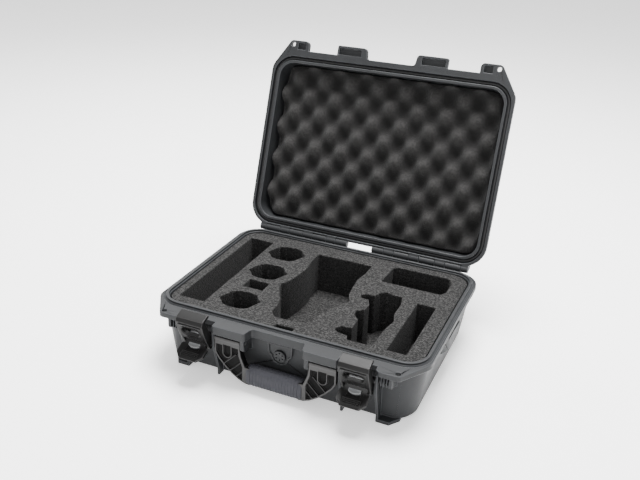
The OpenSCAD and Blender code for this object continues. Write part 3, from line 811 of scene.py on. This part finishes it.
class CASE_OT_handle(Operator):
    """Folding handle: arms and rubber grip"""
    bl_idname = "case.handle"
    bl_label = "Handle"
    half_y, half_z = 0.0093, 0.0128           # the grip's section, from its middle
    squareness = 0.62                         # 1 is an ellipse, less is squarer
    steps = 24                                # points round the grip
    bead_loop = (0.0182, 0.0252, 0.0076)      # depth, height and corner of a bead's path
    bead_margin = 0.006                       # from the grip's end to the first bead

    def execute(self, context):
        colours, sizes, _ = settings(context)
        # The arms are half as light as the latch plastic and their rounded edges six times
        # lighter: painted shade in the arms' pockets and a painted highlight on their edges.
        arms = plastic_pair("handle_shaded_plastic", shade(colours.latch, 0.5), 0.55, edge_highlight=6.0,
                            grain=1300.0, depth=0.00003, gloss=0.06)
        # Faces at the very front of the arms, the ridges, are six times as light as the latch
        # plastic: painted light on the front faces.
        arms.append(moulded("handle_ridge_highlight", shade(colours.latch, 6.0), 0.4, grain=1300.0,
                            depth=0.00003, gloss=0.2))
        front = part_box("handle_frame")[0][1] + 0.0012
        finish_piece(rounded_node(
            "handle_frame", sizes.latch_edge, arms,
            choose=lambda place, way: 2 if way[1] < -0.9 and place[1] < front else 0),
            "handle", "latch_plastic", "handle_frame")

        rubber = moulded("grip_rubber", colours.grip, 0.62, grain=1000.0, depth=0.00006,
                         spread=0.06, gloss=0.2)
        low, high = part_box("handle_grip")
        obj = link("handle_grip_finish", self.body(low, high), [rubber])
        shape = obj.modifiers.new("Round", "SUBSURF")
        shape.levels = shape.render_levels = 1
        smooth(obj.data, 180.0)
        settle(obj)
        pitch = (high[0] - low[0] - 2 * self.bead_margin) / (sizes.beads - 1)
        shaded_hollows, tall, corner = self.bead_loop
        tree, keys = bead_network(rubber)
        run_network(obj, tree, keys, {
            "Depth": shaded_hollows, "Height": tall, "Corner": corner, "Bead": sizes.bead,
            "Start": low[0] + self.bead_margin, "Pitch": pitch, "Place Y": (low[1] + high[1]) / 2,
            "Place Z": (low[2] + high[2]) / 2, "Count": sizes.beads})
        smooth(obj.data, 50.0)
        finish_piece(obj, "handle", "grip_rubber", "handle_grip")
        return {"FINISHED"}

    def body(self, low, high):
        """The grip's rounded bar with soft, slightly pinched ends."""
        bm = bmesh.new()
        mid_y, mid_z = (low[1] + high[1]) / 2, (low[2] + high[2]) / 2
        stations = ((0.0, 0.80), (0.0012, 0.93), (0.004, 0.985), (0.012, 1.0))
        half = (high[0] - low[0]) / 2
        along = [(-half + s, k) for s, k in stations] + [(0.0, 1.0)]
        along += [(half - s, k) for s, k in reversed(stations)]
        rings = []
        for x, swell in along:
            ring = []
            for step in range(self.steps):
                angle = math.tau * step / self.steps
                c, s = math.cos(angle), math.sin(angle)
                ring.append(bm.verts.new((
                    x, mid_y + self.half_y * swell * math.copysign(abs(c) ** self.squareness, c),
                    mid_z + self.half_z * swell * math.copysign(abs(s) ** self.squareness, s))))
            rings.append(ring)
        for one, two in zip(rings, rings[1:]):
            for n in range(self.steps):
                after = (n + 1) % self.steps
                bm.faces.new((one[n], one[after], two[after], two[n]))
        bm.faces.new(rings[0])
        bm.faces.new(rings[-1])
        bmesh.ops.recalc_face_normals(bm, faces=bm.faces)
        return mesh_from("handle_grip_finish", bm)


class CASE_OT_latches(Operator):
    """Claws, levers and slide locks"""
    bl_idname = "case.latches"
    bl_label = "Latches"
    ridges = 3                   # finger ridges on a lever
    ridge_top = 0.0300           # height of the top one, shut
    ridge_pitch = 0.0021         # from one to the next

    def execute(self, context):
        colours, sizes, _ = settings(context)
        # The latches' rounded edges are four times lighter: a painted highlight.
        black = plastic_pair("latch_plastic", colours.latch, 0.42, edge_highlight=4.0, grain=1300.0,
                             depth=0.00003, gloss=0.16)
        grey = plastic_pair("lock_plastic", colours.lock, 0.35, grain=1300.0, depth=0.00002,
                            gloss=0.5)
        for side in SIDES:
            sign = -1.0 if side == "left" else 1.0
            claw = rounded_node("latch_claw_" + side, sizes.latch_edge, black,
                                extras=self.claw_trim(side, sign))
            finish_piece(claw, "claw_" + side, "latch_plastic", "latch_claw_" + side)
            lever = rounded_node("latch_lever_" + side, sizes.latch_edge, black,
                                 extras=self.lever_trim(side, sign))
            finish_piece(lever, "lever_" + side, "latch_plastic", "latch_lever_" + side)
            lock = rounded_node("slide_lock_" + side, sizes.latch_edge, grey)
            finish_piece(lock, "lock_" + side, "lock_plastic", "slide_lock_" + side)
        return {"FINISHED"}

    def claw_space(self, side):
        """From a shut claw's place to its open place."""
        joint = JOINTS["claw_%s_hinge" % side]
        pivot = Matrix.Translation(joint["pos_m"])
        swing = -math.radians(joint["range_deg"][0])
        return pivot @ Matrix.Rotation(swing, 4, "X") @ pivot.inverted()

    def lever_space(self, side):
        """From a shut lever's place to its open place."""
        shut = self.claw_space(side)
        joint = JOINTS["lever_%s_hinge" % side]
        pivot = Matrix.Translation(joint["pos_m"])
        swing = -math.radians(joint["range_deg"][1])
        return pivot @ Matrix.Rotation(swing, 4, "X") @ pivot.inverted() @ shut

    def claw_trim(self, side, sign):
        """A bead round the claw's window and a raised bar along its head."""
        space = self.claw_space(side)
        middle = sign * LATCH_X
        rim = bmesh.new()
        ring_round(rim, Vector((middle, CLAW_FACE_Y, 0.0755)), Vector((1, 0, 0)),
                   Vector((0, 0, 1)), Vector((0, -1, 0)), 0.0133, 0.0073, 0.0072, 0.0008)
        bmesh.ops.transform(rim, matrix=space, verts=rim.verts)
        bar = block((-0.0155, -0.00125, -0.0008), (0.0155, 0.00125, 0.0012), taper=0.0004,
                    turn=space @ Matrix.Translation((middle, CLAW_FACE_Y, 0.0862)) @ UPRIGHT)
        return [rim, bar]

    def lever_trim(self, side, sign):
        """Finger ridges across the lever's lower half."""
        space = self.lever_space(side)
        middle = sign * LATCH_X
        ridges = []
        for step in range(self.ridges):
            low = Vector((-0.010 + 0.001 * step, -0.0006, -0.0006))
            high = Vector((0.010 - 0.001 * step, 0.0006, 0.0008))
            place = (middle, LEVER_FACE_Y, self.ridge_top - self.ridge_pitch * step)
            ridges.append(block(low, high, taper=0.0003,
                                turn=space @ Matrix.Translation(place) @ UPRIGHT))
        return ridges


class CASE_OT_valve(Operator):
    """Pressure valve on the front wall"""
    bl_idname = "case.valve"
    bl_label = "Valve"

    def execute(self, context):
        colours, sizes, _ = settings(context)
        grey = plastic_pair("valve_plastic", shade(colours.shell, 0.8), 0.5, grain=1300.0,
                            depth=0.00002, gloss=0.22)
        for node in ("valve_bezel", "valve_cap"):
            finish_piece(rounded_node(node, sizes.latch_edge * 0.6, grey), "case_base",
                         "shell_plastic", node)
        paint("valve_body", grey[0])
        paint("valve_membrane", foamed("membrane", colours.membrane, cell=2500.0,
                                       depth=0.0001))
        return {"FINISHED"}


class CASE_OT_pins(Operator):
    """Steel pins of the hinges, latches and handle"""
    bl_idname = "case.pins"
    bl_label = "Pins"

    def execute(self, context):
        colours, _, _ = settings(context)
        steel = ground_steel("ground_steel", colours.steel)
        for side in SIDES:
            for pin in ("hinge_pin_", "handle_pin_", "latch_pin_", "lever_pin_"):
                paint(pin + side, steel)
        return {"FINISHED"}


PIECES = (CASE_OT_stage, CASE_OT_shells, CASE_OT_foam_insert, CASE_OT_lid_foam, CASE_OT_seal,
          CASE_OT_handle, CASE_OT_latches, CASE_OT_valve, CASE_OT_pins)


class CASE_PT_panel(Panel):
    """Lists the pieces of the case and their settings"""
    bl_idname = "CASE_PT_panel"
    bl_label = "Carrying Case"
    bl_space_type = "VIEW_3D"
    bl_region_type = "UI"
    bl_category = "Case"

    def draw(self, context):
        layout = self.layout
        for piece in PIECES:
            layout.operator(piece.bl_idname)
        for group in settings(context):
            box = layout.box()
            for key in group.bl_rna.properties.keys():
                if key not in ("rna_type", "name"):
                    box.prop(group, key)


CLASSES = (CaseColours, CaseSizes, CaseView, *PIECES, CASE_PT_panel)


def register():
    """Adds the case's settings, operators and panel."""
    for item in CLASSES:
        bpy.utils.register_class(item)
    bpy.types.Scene.case_colours = PointerProperty(type=CaseColours)
    bpy.types.Scene.case_sizes = PointerProperty(type=CaseSizes)
    bpy.types.Scene.case_view = PointerProperty(type=CaseView)


def unregister():
    """Removes what register added."""
    for name in ("case_colours", "case_sizes", "case_view"):
        delattr(bpy.types.Scene, name)
    for item in reversed(CLASSES):
        bpy.utils.unregister_class(item)


def main():
    """Makes every piece."""
    register()
    for piece in PIECES:
        group, name = piece.bl_idname.split(".")
        getattr(getattr(bpy.ops, group), name)()


if __name__ == "__main__":
    main()
